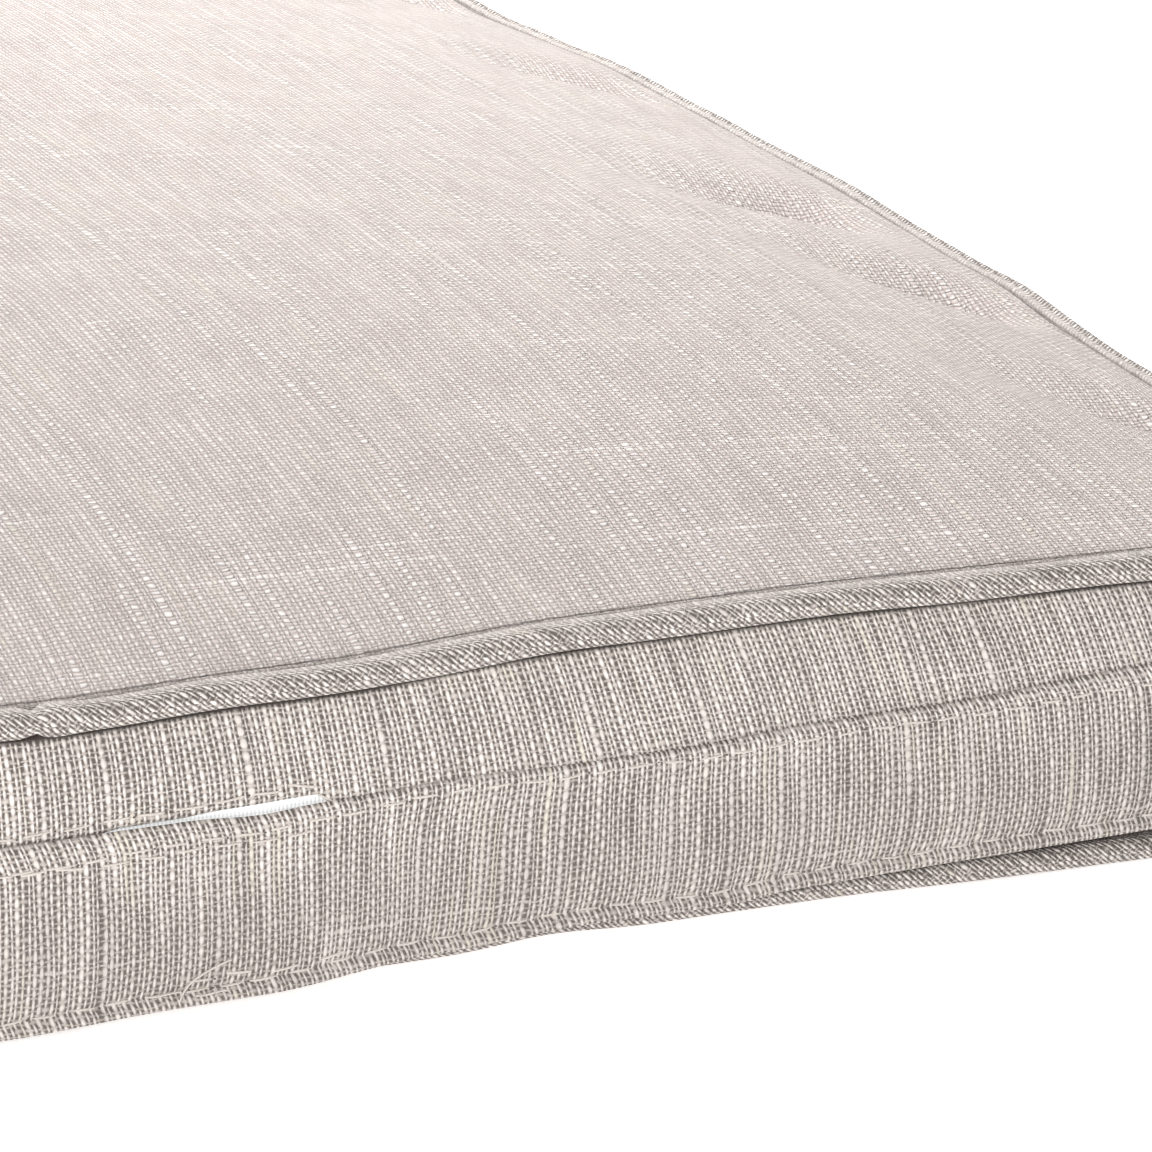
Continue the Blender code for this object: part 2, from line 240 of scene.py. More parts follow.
class Seam:
    """Places on the seam line seen from above, with their outward directions."""

    def __init__(self, side, along):
        side, along = np.broadcast_arrays(np.asarray(side), np.asarray(along, float))
        facing = (side - 1) * 0.5 * math.pi
        sign = np.sign(along)
        bend = np.clip((np.abs(along) - STRAIGHT) / CORNER_RADIUS, 0.0, 1.0) * 0.25 * math.pi
        bow = SIDE_BOW * np.cos(0.5 * math.pi * np.clip(along / STRAIGHT, -1.0, 1.0)) ** 2
        on_side = np.abs(along) <= STRAIGHT
        reach = np.where(on_side, HALF + bow, STRAIGHT + CORNER_RADIUS * np.cos(bend))
        slide = np.where(on_side, along, sign * (STRAIGHT + CORNER_RADIUS * np.sin(bend)))
        turn = facing + sign * bend
        self.side, self.along = side, along
        self.x = np.cos(facing) * reach - np.sin(facing) * slide
        self.y = np.sin(facing) * reach + np.cos(facing) * slide
        self.out_x, self.out_y = np.cos(turn), np.sin(turn)
        self.top = TOP_SEAM + self.waves(TOP_WAVES)
        self.bottom = BOTTOM_SEAM + self.waves(BOTTOM_WAVES)
        self.run = side * SIDE + along

    def waves(self, table):
        rise = np.zeros(self.x.shape)
        for side, centre, half_width, height in table:
            reach, slide = from_side(side, self.x, self.y)
            near = ease((reach / HALF - WAVES_FROM) / WAVES_RUN)
            rise = rise + height * near * bump(slide - centre, half_width)
        return rise

    def point(self, outward, height):
        x = self.x + self.out_x * outward
        y = self.y + self.out_y * outward
        return np.stack(np.broadcast_arrays(x, y, height), -1)

    def boxing_face(self, height):
        """How far the outer face of the boxing lies outside the seam line at a height."""
        share = 2.0 * (height - self.bottom) / (self.top - self.bottom) - 1.0
        return BOXING_AT_SEAM + BOXING_SWELL * (1.0 - np.minimum(np.abs(share), 1.0) ** BOXING_POWER)


def seam_round(step):
    """The whole seam, anticlockwise from the front left corner, in steps of about one length."""
    count = int(round(SIDE / step))
    along = np.tile(np.linspace(-HALF, HALF, count, endpoint=False), 4)
    return Seam(column(np.repeat(np.arange(4), count)), column(along))


def column(values):
    """Values along the seam, as a column that meets a row of heights."""
    return np.asarray(values)[:, None]


def placed(name, data):
    """A new object in the scene."""
    thing = bpy.data.objects.new(name, data)
    bpy.context.scene.collection.objects.link(thing)
    return thing


def evaluated_mesh(thing):
    """The mesh of an object or curve once its modifiers and bevel are applied."""
    evaluated = thing.evaluated_get(bpy.context.evaluated_depsgraph_get())
    return bpy.data.meshes.new_from_object(evaluated)


# Meshes from grids of points.
def finish_mesh(name, points, faces, uvs, material, inward=None):
    """An object from points and faces, with its cloth places and its distances from the seam."""
    mesh = bpy.data.meshes.new(name)
    points = np.array(points, float).reshape(-1, 3)
    points[:, 1] += MIDDLE_SHIFT
    mesh.from_pydata(points.tolist(), [], [tuple(face) for face in faces])
    layer = mesh.uv_layers.new(name="cloth")
    layer.uv.foreach_set("vector", np.asarray(uvs, np.float32).reshape(-1))
    if inward is not None:
        seam_layer = mesh.uv_layers.new(name="seam")
        pairs = np.stack([inward, 0.0 * inward], -1)
        seam_layer.uv.foreach_set("vector", pairs.astype(np.float32).reshape(-1))
    mesh.materials.append(material)
    mesh.validate()
    mesh.shade_smooth()
    return placed(name, mesh)


def grid_faces(points, uv, wrap_rows, wrap_columns):
    """Quads of a grid of points. uv has one more row or column where the grid wraps round."""
    rows, columns = points.shape[:2]
    i = np.arange(rows if wrap_rows else rows - 1)
    j = np.arange(columns if wrap_columns else columns - 1)
    i, j = (a.ravel() for a in np.meshgrid(i, j, indexing="ij"))
    ni, nj = i + 1, j + 1
    corner = [(i, j), (i, nj), (ni, nj), (ni, j)]
    faces = np.stack([(a % rows) * columns + (b % columns) for a, b in corner], -1)
    uvs = np.stack([uv[a, b] for a, b in corner], 1)
    return faces, uvs


def closed_strip(name, seam, outs, heights, uv, material):
    """A strip from closed sections, one at each place of the seam, with its ends filled."""
    points = seam.point(outs, heights)
    faces, uvs = grid_faces(points, uv, False, True)
    count = points.shape[1]
    ends = [list(range(count))[::-1], [(points.shape[0] - 1) * count + k for k in range(count)]]
    end_uvs = [uv[0, :count][::-1], uv[-1, :count]]
    all_faces = faces.tolist() + ends
    all_uvs = np.concatenate([uvs.reshape(-1, 2)] + end_uvs)
    corners = np.concatenate([np.array(face) for face in all_faces])
    inward = (seam.top - points[..., 2]).reshape(-1)[corners]
    return finish_mesh(name, points, all_faces, all_uvs, material, inward)


def set_inputs(node, values):
    for name, value in values.items():
        node.inputs[name].default_value = value


# Shader arithmetic.
FLAT_NOISE = {"noise_dimensions": "2D"}
CLOTH_SHINE = 0.15


class Value:
    """A number or colour of a shader, which takes part in ordinary arithmetic."""

    def __init__(self, shader, socket):
        self.shader = shader
        self.socket = socket

    def maths(self, operation, *others):
        values = dict(enumerate((self, *others)))
        return self.shader.add("ShaderNodeMath", {"operation": operation}, values)

    def __rsub__(self, other):
        return (self * -1.0) + other

    __add__ = __radd__ = partialmethod(maths, "ADD")
    __sub__ = partialmethod(maths, "SUBTRACT")
    __mul__ = __rmul__ = partialmethod(maths, "MULTIPLY")
    __truediv__ = partialmethod(maths, "DIVIDE")
    __pow__ = partialmethod(maths, "POWER")
    floor = partialmethod(maths, "FLOOR")
    fraction = partialmethod(maths, "FRACT")
    size = partialmethod(maths, "ABSOLUTE")
    cosine = partialmethod(maths, "COSINE")
    exponential = partialmethod(maths, "EXPONENT")
    at_least = partialmethod(maths, "MAXIMUM")
    at_most = partialmethod(maths, "MINIMUM")

    def within(self, low=0.0, high=1.0):
        return self.at_least(low).at_most(high)

    def step(self, low, high):
        """A smooth step from 0 at low to 1 at high."""
        settings = {"interpolation_type": "SMOOTHSTEP"}
        inputs = {"Value": self, "From Min": low, "From Max": high}
        return self.shader.add("ShaderNodeMapRange", settings, inputs)


class Shader:
    """A material and the nodes that are added to it."""

    def __init__(self, name, roughness, sheen):
        self.material = bpy.data.materials.new(name)
        self.material.use_nodes = True
        self.tree = self.material.node_tree
        self.surface = self.tree.nodes["Principled BSDF"]
        values = {"Roughness": roughness, "Sheen Weight": sheen, "Specular IOR Level": CLOTH_SHINE}
        set_inputs(self.surface, values)

    def add(self, kind, settings, inputs, output=0):
        node = self.tree.nodes.new(kind)
        for name, value in settings.items():
            if name == "stops":
                self.set_stops(node.color_ramp, value)
            else:
                setattr(node, name, value)
        for name, value in inputs.items():
            self.feed(node.inputs[name], value)
        return Value(self, node.outputs[output])

    def feed(self, socket, value):
        if isinstance(value, Value):
            self.tree.links.new(value.socket, socket)
        else:
            socket.default_value = value

    def set_stops(self, ramp, stops):
        while len(ramp.elements) < len(stops):
            ramp.elements.new(1.0)
        for element, (place, colour) in zip(ramp.elements, stops):
            element.position = place
            element.color = (*colour, 1.0)

    def vector(self, x, y):
        return self.add("ShaderNodeCombineXYZ", {}, {"X": x, "Y": y})

    def noise(self, x, y, detail=0.0):
        """Smooth noise about 0, from about -0.5 to 0.5."""
        inputs = {"Vector": self.vector(x, y), "Scale": 1.0, "Detail": detail}
        return self.add("ShaderNodeTexNoise", FLAT_NOISE, inputs) - 0.5

    def chance(self, x, y=0.0):
        """A fixed random number for each whole-number place."""
        return self.add("ShaderNodeTexWhiteNoise", FLAT_NOISE, {"Vector": self.vector(x, y)})

    def mix(self, factor, first, second):
        node = self.tree.nodes.new("ShaderNodeMix")
        node.data_type = "RGBA"
        self.feed(node.inputs[0], factor)
        self.feed(node.inputs[6], first if isinstance(first, Value) else (*first, 1.0))
        self.feed(node.inputs[7], second if isinstance(second, Value) else (*second, 1.0))
        return Value(self, node.outputs[2])

    def uv(self, layer="cloth"):
        place = self.add("ShaderNodeUVMap", {"uv_map": layer}, {})
        parts = self.add("ShaderNodeSeparateXYZ", {}, {"Vector": place})
        return parts, Value(self, parts.socket.node.outputs[1])

    def finish(self, colour, height, depth):
        bumps = self.add("ShaderNodeBump", {}, {"Height": height, "Distance": depth, "Strength": 1.0})
        self.feed(self.surface.inputs["Normal"], bumps)
        self.feed(self.surface.inputs["Base Color"], colour)
        return self.material


# Tones of the cloth by height, from its holes up to the crests of its yarns. The dark low tones are painted
# shade in the holes and between the yarns.
BOXING_TONES = (
    (0.00, (0.140, 0.120, 0.107)),
    (0.25, (0.200, 0.173, 0.155)),
    (0.50, (0.450, 0.401, 0.367)),
    (0.75, (0.730, 0.666, 0.622)),
    (1.00, (0.890, 0.828, 0.785)),
)
PANEL_TONES = (
    (0.00, (0.460, 0.388, 0.360)),
    (0.35, (0.580, 0.500, 0.467)),
    (0.60, (0.720, 0.632, 0.594)),
    (0.85, (0.880, 0.796, 0.756)),
    (1.00, (0.950, 0.874, 0.836)),
)
PIPING_TONES = (
    (0.00, (0.130, 0.113, 0.102)),
    (0.28, (0.270, 0.237, 0.217)),
    (0.50, (0.620, 0.560, 0.525)),
    (0.72, (0.820, 0.754, 0.716)),
    (1.00, (0.900, 0.842, 0.806)),
)
SLUB_TONE = (0.740, 0.678, 0.636)
BEAD_TONE = (0.910, 0.850, 0.822)
BAND_TONE = (0.640, 0.583, 0.552)
# Painted shade: the dark of the seam's crevices, under the piping and along the panel's edge.
SEAM_SHADE_TONE = (0.060, 0.049, 0.043)
# Painted shade towards the boxing's foot.
FOOT_SHADE_TONE = (0.250, 0.220, 0.200)
WARM_TONE = (0.680, 0.645, 0.480)

# How the yarns of each cloth lie. The widths are shares of the yarns' pitches. A yarn sinks by a
# share of its height where it passes under, and the cross yarns reach cross_height. A slub swells
# its yarns' pitch and is fat by a share of it. A higher roundness makes the yarns thinner.
YARN_MEASURES = ("width", "cross_width", "sink", "cross_height", "swell", "fat", "roundness")
BOXING_YARNS = dict(zip(YARN_MEASURES, (0.70, 0.56, 0.46, 0.60, 0.30, 0.08, 0.8)))
PANEL_YARNS = dict(zip(YARN_MEASURES, (0.88, 0.90, 0.90, 0.60, 0.50, 0.40, 0.9)))
PIPING_YARNS = dict(zip(YARN_MEASURES, (0.66, 0.40, 0.75, 0.45, 0.20, 0.10, 0.9)))

# Unevenness of the weave: yarns between the places where a slub may lie, how far yarns, cross
# yarns and broad patches wander, in yarns, and the waves of fuzz in a metre.
SLUB_EVERY = 5.0
YARN_WANDER = 0.60
CROSS_WANDER = 0.90
PATCH_WANDER = 0.40
FUZZ_ACROSS = 9500.0
FUZZ_ALONG = 5200.0
STREAK_CHANCE = 0.90
WARM_CHANCE = 0.80


def weave(shader, across, along, tones, slub_tone, yarns):
    """Plain weave of slub yarns, which run along, and even cross yarns: its height and colour."""
    a = across / SLUB_PITCH
    b = along / CROSS_PITCH
    patch = shader.noise(a * 0.09, b * 0.06)
    a = a + shader.noise(a * 0.85, b * 0.06) * YARN_WANDER + patch * PATCH_WANDER
    b = b + shader.noise(b * 0.7, a * 0.40) * CROSS_WANDER

    cell = (a / SLUB_EVERY).floor()
    place = (shader.chance(cell, 3.0) * (SLUB_EVERY - 2.0)).floor()
    distance = a - (place + cell * SLUB_EVERY + 1.5)
    strength = shader.noise(cell * 7.31, b * 0.011).step(-0.04, 0.10)
    near = (distance * distance * -0.8).exponential() * strength
    a = a - distance * near * yarns["swell"]

    row, line = b.floor(), a.floor()
    fa, fb = a.fraction() - 0.5, b.fraction() - 0.5
    over = ((b - 0.5 + line) * math.pi).cosine()
    under = ((a - 0.5 + row) * math.pi).cosine() * -1.0
    along_tone = shader.noise(line * 3.7, b * 0.14)
    fuzz = shader.noise(across * FUZZ_ACROSS, along * FUZZ_ALONG, detail=1.0)
    ragged = along_tone * 0.18 + near * yarns["fat"] + fuzz * 0.35
    width_a = shader.chance(line, 1.0) * 0.10 + over * 0.08 + ragged + yarns["width"]
    width_b = shader.chance(row, 5.0) * 0.12 + under * 0.08 + yarns["cross_width"]
    profile_a = (1.0 - (fa * 2.0 / width_a) ** 2.0).at_least(0.0) ** yarns["roundness"]
    profile_b = (1.0 - (fb * 2.0 / width_b) ** 2.0).at_least(0.0) ** yarns["roundness"]
    half_sink = 0.5 * yarns["sink"]
    height_a = profile_a * (over * half_sink + (1.0 - half_sink))
    height_b = profile_b * (under * half_sink + (1.0 - half_sink)) * yarns["cross_height"]
    height = height_a.at_least(height_b) + fuzz * 0.20

    pale = shader.chance(line, 13.0) * 0.08 + along_tone * 0.14 + patch * 0.16
    # Colour by height: painted shade, darker where the yarns lie lower.
    colour = shader.add("ShaderNodeValToRGB", {"stops": tones}, {"Fac": height + pale})
    streak = shader.chance(row, 31.0).step(STREAK_CHANCE, STREAK_CHANCE + 0.06)
    streak = streak * shader.noise(row * 5.1, a * 0.02).step(-0.02, 0.12)
    colour = shader.mix(streak * height_b.step(0.15, 0.45) * 0.8, colour, slub_tone)
    slub = near.step(0.05, 0.60) * height_a.step(0.30, 0.75)
    bead = (slub * (over * 0.35 + fuzz * 1.8 + 0.55)).within()
    colour = shader.mix(bead, colour, slub_tone)
    warm = shader.chance(line, 21.0).step(WARM_CHANCE, WARM_CHANCE + 0.15) * patch.step(0.02, 0.16)
    colour = shader.mix(warm * height_a * 0.45, colour, WARM_TONE)
    return height + slub * 0.45, colour


# Depth of each weave's bump, and where tones change: distances from the seam between which the
# painted shade of the crease under the piping ends, the boxing darkens to its foot with painted
# shade, and the painted shade line along the panel's edge begins and ends, and distances from the
# piping's lip between which its tone fades.
WEAVE_DEPTH = 0.00030
PANEL_DEPTH = 0.00060
CREASE_SHADE_END = (0.0039, 0.0047)
FOOT_SHADE = (0.016, 0.034)
EDGE_SHADE_LINE = ((0.00010, 0.00030), (0.00050, 0.00090))
LIP_FADE = (0.0004, 0.0011)


def boxing_cloth():
    shader = Shader("boxing_cloth", 0.92, 0.10)
    u, v = shader.uv()
    height, colour = weave(shader, u, v, BOXING_TONES, SLUB_TONE, BOXING_YARNS)
    below, _ = shader.uv("seam")
    # Painted shade: the boxing is dark just under the piping.
    colour = shader.mix(below.step(*CREASE_SHADE_END), SEAM_SHADE_TONE, colour)
    # Painted shade: the boxing darkens towards its foot.
    colour = shader.mix(below.step(*FOOT_SHADE) * 0.20, colour, FOOT_SHADE_TONE)
    return shader.finish(colour, height, WEAVE_DEPTH)


def panel_cloth():
    shader = Shader("panel_cloth", 0.92, 0.20)
    u, v = shader.uv()
    height, colour = weave(shader, u, v, PANEL_TONES, BEAD_TONE, PANEL_YARNS)
    inward, _ = shader.uv("seam")
    edge = inward + shader.noise(u * 900.0, v * 900.0) * 0.00030
    begins, ends = EDGE_SHADE_LINE
    line = edge.step(*begins) * (1.0 - edge.step(*ends))
    # Painted shade: a dark line along the panel's edge at the seam.
    colour = shader.mix(line * 0.75, colour, SEAM_SHADE_TONE)
    return shader.finish(colour, height, PANEL_DEPTH)


def piping_cloth():
    shader = Shader("piping_cloth", 0.92, 0.10)
    u, v = shader.uv()
    turn = math.radians(PIPING_BIAS_DEGREES)
    across = (u * math.cos(turn) + v * math.sin(turn)) * PIPING_STRETCH
    along = (v * math.cos(turn) - u * math.sin(turn)) * PIPING_SLACK
    height, colour = weave(shader, across, along, PIPING_TONES, SLUB_TONE, PIPING_YARNS)
    lip = (v - LIP_PLACE).size()
    colour = shader.mix((1.0 - lip.step(*LIP_FADE)) * 0.65, colour, BAND_TONE)
    return shader.finish(colour, height, WEAVE_DEPTH)


TAPE_RIB = 0.00055
TAPE_PICK = 0.00045
TAPE_TONES = ((0.86, 0.88, 0.89), (0.98, 0.99, 0.99))
# The tape glows a little: painted light that keeps it white in its crevice.
TAPE_GLOW_COLOUR = (0.95, 1.0, 1.0, 1.0)
TAPE_GLOW = 0.18
TAPE_DEPTH = 0.00012


def tape_cloth():
    shader = Shader("zip_tape_cloth", 0.75, 0.10)
    u, v = shader.uv()
    rib = (u * (2.0 * math.pi / TAPE_RIB)).cosine() * 0.5 + 0.5
    pick = (v * (2.0 * math.pi / TAPE_PICK)).cosine() * 0.5 + 0.5
    height = rib * 0.7 + pick * 0.3
    colour = shader.mix(height, *TAPE_TONES)
    # Painted light: the tape glows a little.
    set_inputs(shader.surface, {"Emission Color": TAPE_GLOW_COLOUR, "Emission Strength": TAPE_GLOW})
    return shader.finish(colour, height, TAPE_DEPTH)


THREAD_TONES = ((0.52, 0.47, 0.43), (0.76, 0.70, 0.65))
# Painted shade: the dark of the needle holes.
HOLE_SHADE_TONES = ((0.080, 0.066, 0.058), (0.160, 0.138, 0.122))
THREAD_TWIST = 3500.0
THREAD_DEPTH = 0.00008


def thread_material(name, dark, light):
    shader = Shader(name, 0.70, 0.05)
    place = shader.add("ShaderNodeTexCoord", {}, {}, "Object")
    inputs = {"Vector": place, "Scale": THREAD_TWIST, "Detail": 1.0}
    twist = shader.add("ShaderNodeTexNoise", {}, inputs)
    colour = shader.mix(twist, dark, light)
    return shader.finish(colour, twist, THREAD_DEPTH)


# The filled pad: its mesh, the room that it leaves inside the boxing and the zip tape, and the
# most that the filling may move the cloth.
PAD_CELLS = 98
PAD_SIDE_LEVELS = 9
PAD_RING_DROP = 0.004
PAD_ROOM = 0.0003
TAPE_ROOM = 0.0006
MOST_FILLING = 0.003
FILLING_STEPS = 20
FILLING = {
    "quality": 6,
    "mass": 0.3,
    "tension_stiffness": 30.0,
    "compression_stiffness": 30.0,
    "shear_stiffness": 8.0,
    "bending_stiffness": 1.5,
    "use_pressure": True,
    "uniform_pressure_force": 4.0,
}


def pad_grid():
    """A square grid drawn onto the seam's outline: places from above, share and seam place."""
    t = np.linspace(-1.0, 1.0, PAD_CELLS + 1)
    u, v = np.meshgrid(t, t, indexing="ij")
    share = np.maximum(np.abs(u), np.abs(v))
    safe = np.maximum(share, 1e-9)
    on_x = np.abs(u) >= np.abs(v)
    side = np.where(on_x, np.where(u > 0, RIGHT, LEFT), np.where(v > 0, BACK, FRONT))
    slide = np.select([side == RIGHT, side == LEFT, side == BACK, side == FRONT], [v, -v, -u, u])
    return share, Seam(side, slide / safe * HALF)


def crown_height(x, y, share):
    """Rise of the top panel over its seam."""

    def dome(u, v):
        u, v = np.minimum(np.abs(u), 1.0), np.minimum(np.abs(v), 1.0)
        return (1.0 - u**CROWN_POWER) * (1.0 - v**CROWN_POWER)

    safe = np.maximum(share, 1e-9)
    return CROWN * (dome(x / HALF, y / HALF) - dome(x / safe / HALF, y / safe / HALF) * share**4)


# How much deeper and narrower the cloth dips in its puckers than the solid does, and the share of
# a pucker's length over which it deepens.
PUCKER_PULL = 4.0
PUCKER_PINCH = 0.8
PUCKER_ONSET = 0.25


def pucker_depth(x, y):
    """How far the puckers along the top seam draw the panel down."""
    depth = np.zeros(x.shape)
    for side, centre, slant, half_width, length, deep in PUCKERS:
        reach, slide = from_side(side, x, y)
        inward = HALF - reach
        share = inward / length
        fade = ease(share / PUCKER_ONSET) * (1.0 - ease(share))
        fade = np.where((inward >= 0) & (share <= 1.0), fade, 0.0)
        across = bump(slide - centre - slant * inward, PUCKER_PINCH * half_width)
        depth = depth + PUCKER_PULL * deep * fade * across
    return depth


def settled_panel(points, faces):
    """The top panel filled out by its stuffing: cloth held at its seam, under light pressure."""
    mesh = bpy.data.meshes.new("panel_settling")
    mesh.from_pydata(points.reshape(-1, 3).tolist(), [], faces.tolist())
    thing = placed("panel_settling", mesh)
    held = thing.vertex_groups.new(name="held")
    rows, columns = points.shape[:2]
    index = np.arange(rows * columns).reshape(rows, columns)
    edge = np.unique(np.concatenate([index[0], index[-1], index[:, 0], index[:, -1]]))
    held.add(edge.tolist(), 1.0, "REPLACE")
    cloth = thing.modifiers.new("filling", "CLOTH")
    cloth.settings.vertex_group_mass = "held"
    for name, value in FILLING.items():
        setattr(cloth.settings, name, value)
    cloth.settings.effector_weights.gravity = 0.0
    cloth.collision_settings.use_collision = False
    for step in range(1, FILLING_STEPS + 1):
        bpy.context.scene.frame_set(step)
    settled = thing.evaluated_get(bpy.context.evaluated_depsgraph_get())
    found = np.zeros(len(mesh.vertices) * 3, np.float32)
    settled.data.vertices.foreach_get("co", found)
    bpy.context.scene.frame_set(1)
    bpy.data.objects.remove(thing)
    bpy.data.meshes.remove(mesh)
    return found.reshape(points.shape).astype(float)


def filled_pad(material):
    share, seam = pad_grid()
    rim = seam.point(RIM_OUT, 0.0)
    flat_x, flat_y = rim[..., 0] * share, rim[..., 1] * share
    rise = crown_height(flat_x, flat_y, share)
    top = np.stack([flat_x, flat_y, TOP_SEAM + rise + (seam.top - TOP_SEAM) * share**6], -1)
    top_uv = np.stack([flat_x, flat_y], -1)
    faces, uvs = grid_faces(top, top_uv, False, False)
    faces, uvs = faces[:, ::-1], uvs[:, ::-1]
    moved = settled_panel(top, faces) - top
    reach = np.linalg.norm(moved, axis=-1, keepdims=True)
    top = top + moved * np.minimum(1.0, MOST_FILLING / np.maximum(reach, 1e-9))
    top[..., 2] -= pucker_depth(flat_x, flat_y)
    top[..., 2] += RIPPLE * unevenness(flat_x, flat_y, *PAD_RIPPLES) * (1.0 - share**8)

    inward = np.minimum((1.0 - share) * HALF, BOTTOM_ROLL)
    lift = seam.bottom * (1.0 - ease(inward / BOTTOM_ROLL))
    bottom = np.stack([flat_x, flat_y, lift], -1)
    n = PAD_CELLS
    loop = [(i, 0) for i in range(n)] + [(n, j) for j in range(n)]
    loop += [(i, n) for i in range(n, 0, -1)] + [(0, j) for j in range(n, 0, -1)]
    li, lj = np.array(loop).T
    edge = Seam(seam.side[li, lj], seam.along[li, lj])
    recess = CLOTH + CLEARANCE + PAD_ROOM
    zip_run = np.where(edge.side == FRONT, ZIP_HALF_LENGTH - np.abs(edge.along), 0.0)
    recess = recess + (TAPE_THICKNESS + TAPE_ROOM) * ease(zip_run / PAD_RECESS_RUN)
    span = edge.top - edge.bottom - 2.0 * RIM_THICKNESS
    rings = [edge.point(RIM_OUT - CLEARANCE, edge.top - RIM_THICKNESS)]
    for level in np.linspace(1.0, 0.0, PAD_SIDE_LEVELS):
        height = edge.bottom + RIM_THICKNESS + span * level
        rings.append(edge.point(edge.boxing_face(height) - recess, height))
    rings.append(edge.point(RIM_OUT - CLEARANCE, edge.bottom + RIM_THICKNESS))

    size = (n + 1) ** 2
    index = np.arange(size).reshape(n + 1, n + 1)
    points = [top.reshape(-1, 3)] + rings + [bottom.reshape(-1, 3)]
    starts = [size + k * len(loop) for k in range(len(rings))]
    low = size + len(rings) * len(loop)
    loops = [index[li, lj]] + [start + np.arange(len(loop)) for start in starts] + [low + index[li, lj]]
    all_faces, all_uvs = [faces], [uvs]
    inner = ((1.0 - share) * HALF).reshape(-1)
    far_in = np.full(4, HALF)
    inwards = [inner[faces]]
    for k, (upper, lower) in enumerate(zip(loops, loops[1:])):
        ring_faces = np.stack([upper, lower, np.roll(lower, -1), np.roll(upper, -1)], -1)
        run = np.arange(len(loop)) * SIDE / n
        down = PAD_RING_DROP * np.array([k, k + 1, k + 1, k])
        sideways = run[:, None] + np.array([0, 0, 1, 1]) * SIDE / n
        all_faces.append(ring_faces)
        all_uvs.append(np.stack([sideways, np.broadcast_to(down, sideways.shape)], -1))
        inwards.append(np.broadcast_to(far_in, ring_faces.shape))
    all_faces.append(low + faces[:, ::-1])
    all_uvs.append(uvs[:, ::-1])
    inwards.append(inner[faces[:, ::-1]])
    points, all_uvs = np.concatenate(points), np.concatenate(all_uvs)
    all_faces, inwards = np.concatenate(all_faces).tolist(), np.concatenate(inwards)
    pad = finish_mesh("cushion_pad", points, all_faces, all_uvs, material, inwards.reshape(-1))
    smooth = pad.modifiers.new("smooth", "SUBSURF")
    smooth.levels = smooth.render_levels = 1
    smooth.boundary_smooth = "PRESERVE_CORNERS"
    return applied(pad)


def applied(thing):
    """The object with its modifiers made part of its mesh."""
    mesh = evaluated_mesh(thing)
    thing.modifiers.clear()
    old = thing.data
    thing.data = mesh
    bpy.data.meshes.remove(old)
    return thing


# Pipings.
PIPING_STEP = 0.0011
PIPING_SECTION = 30
FLANGE_REACH = 0.64
FLANGE_SPREAD = 0.30
# The top piping's join: changes of its radius, each as a share, with its place and half width.
PIPING_JOIN = ((0.14, 0.0050, 0.0030), (-0.32, 0.0020, 0.0010))
# Unevenness of the pipings: share of the radius, height, and the wave lengths and seeds of both.
PIPING_SWELL = 0.05
PIPING_DRIFT = 0.00012
SWELL_WAVES = 0.045
TOP_SWELL_SEED = 5
BOTTOM_SWELL_SEED = 6
DRIFT_WAVES = (0.030, 8)


def piping(name, upper, material):
    """A cord in its bias cover, with the flat of the cover running to the seam."""
    seam = seam_round(PIPING_STEP)
    angle = np.linspace(0.0, 2.0 * math.pi, PIPING_SECTION, endpoint=False)
    lip_at = math.radians(FLANGE_ANGLE if upper else 360.0 - FLANGE_ANGLE)
    turn = np.abs((angle - lip_at + math.pi) % (2.0 * math.pi) - math.pi)
    seed = TOP_SWELL_SEED if upper else BOTTOM_SWELL_SEED
    swell = PIPING_SWELL * unevenness(seam.run, seam.run * 0.0, SWELL_WAVES, seed)
    if upper:
        swell = swell + sum(rise * bump(seam.run - place, half) for rise, place, half in PIPING_JOIN)
    radius = PIPING_RADIUS * (1.0 + swell) * (1.0 + FLANGE_REACH * bump(turn, FLANGE_SPREAD))
    level = seam.top - PIPING_FROM_SEAM if upper else seam.bottom + PIPING_FROM_SEAM
    level = level + PIPING_DRIFT * unevenness(seam.run, seam.run * 0.0, *DRIFT_WAVES)
    outs = PIPING_OUT + radius * np.cos(angle)
    points = seam.point(outs, level + radius * np.sin(angle))
    rows = np.linspace(0.0, 4.0 * SIDE, len(seam.x) + 1)
    around = np.linspace(0.0, 2.0 * math.pi * PIPING_RADIUS, PIPING_SECTION + 1)
    uv = np.stack(np.meshgrid(rows, around, indexing="ij"), -1)
    faces, uvs = grid_faces(points, uv, True, True)
    return finish_mesh(name, points, faces[:, ::-1].tolist(), uvs[:, ::-1].reshape(-1, 2), material)


# Boxing strips: steps along and levels down, and how far a cut edge is rounded over, as a share of
# the cloth's thickness.
BOXING_STEP = 0.003
FRONT_STEP = 0.0009
BOXING_LEVELS = 19
UPPER_LEVELS = 24
LOWER_LEVELS = 44
TAPE_LEVELS = 15
EDGE_ROUNDING = 0.18
# Dents at the stitch rows and along the edges: depth, half width.
UPPER_ROW_DENT = (0.00022, 0.0006)
LOWER_ROW_DENT = (0.00025, 0.0007)
HEM_ROW_DENT = (0.00030, 0.0006)
EDGE_DENT = (0.0004, 0.0004)
# Share of the lower strip's depth over which it leaves the boxing's face and hangs free.
HANGING_SHARE = 0.8
# The tape lies a gap behind the strips, and is a little thinner than in the solids.
TAPE_GAP = 0.0001
TAPE_CLOTH = 0.0008


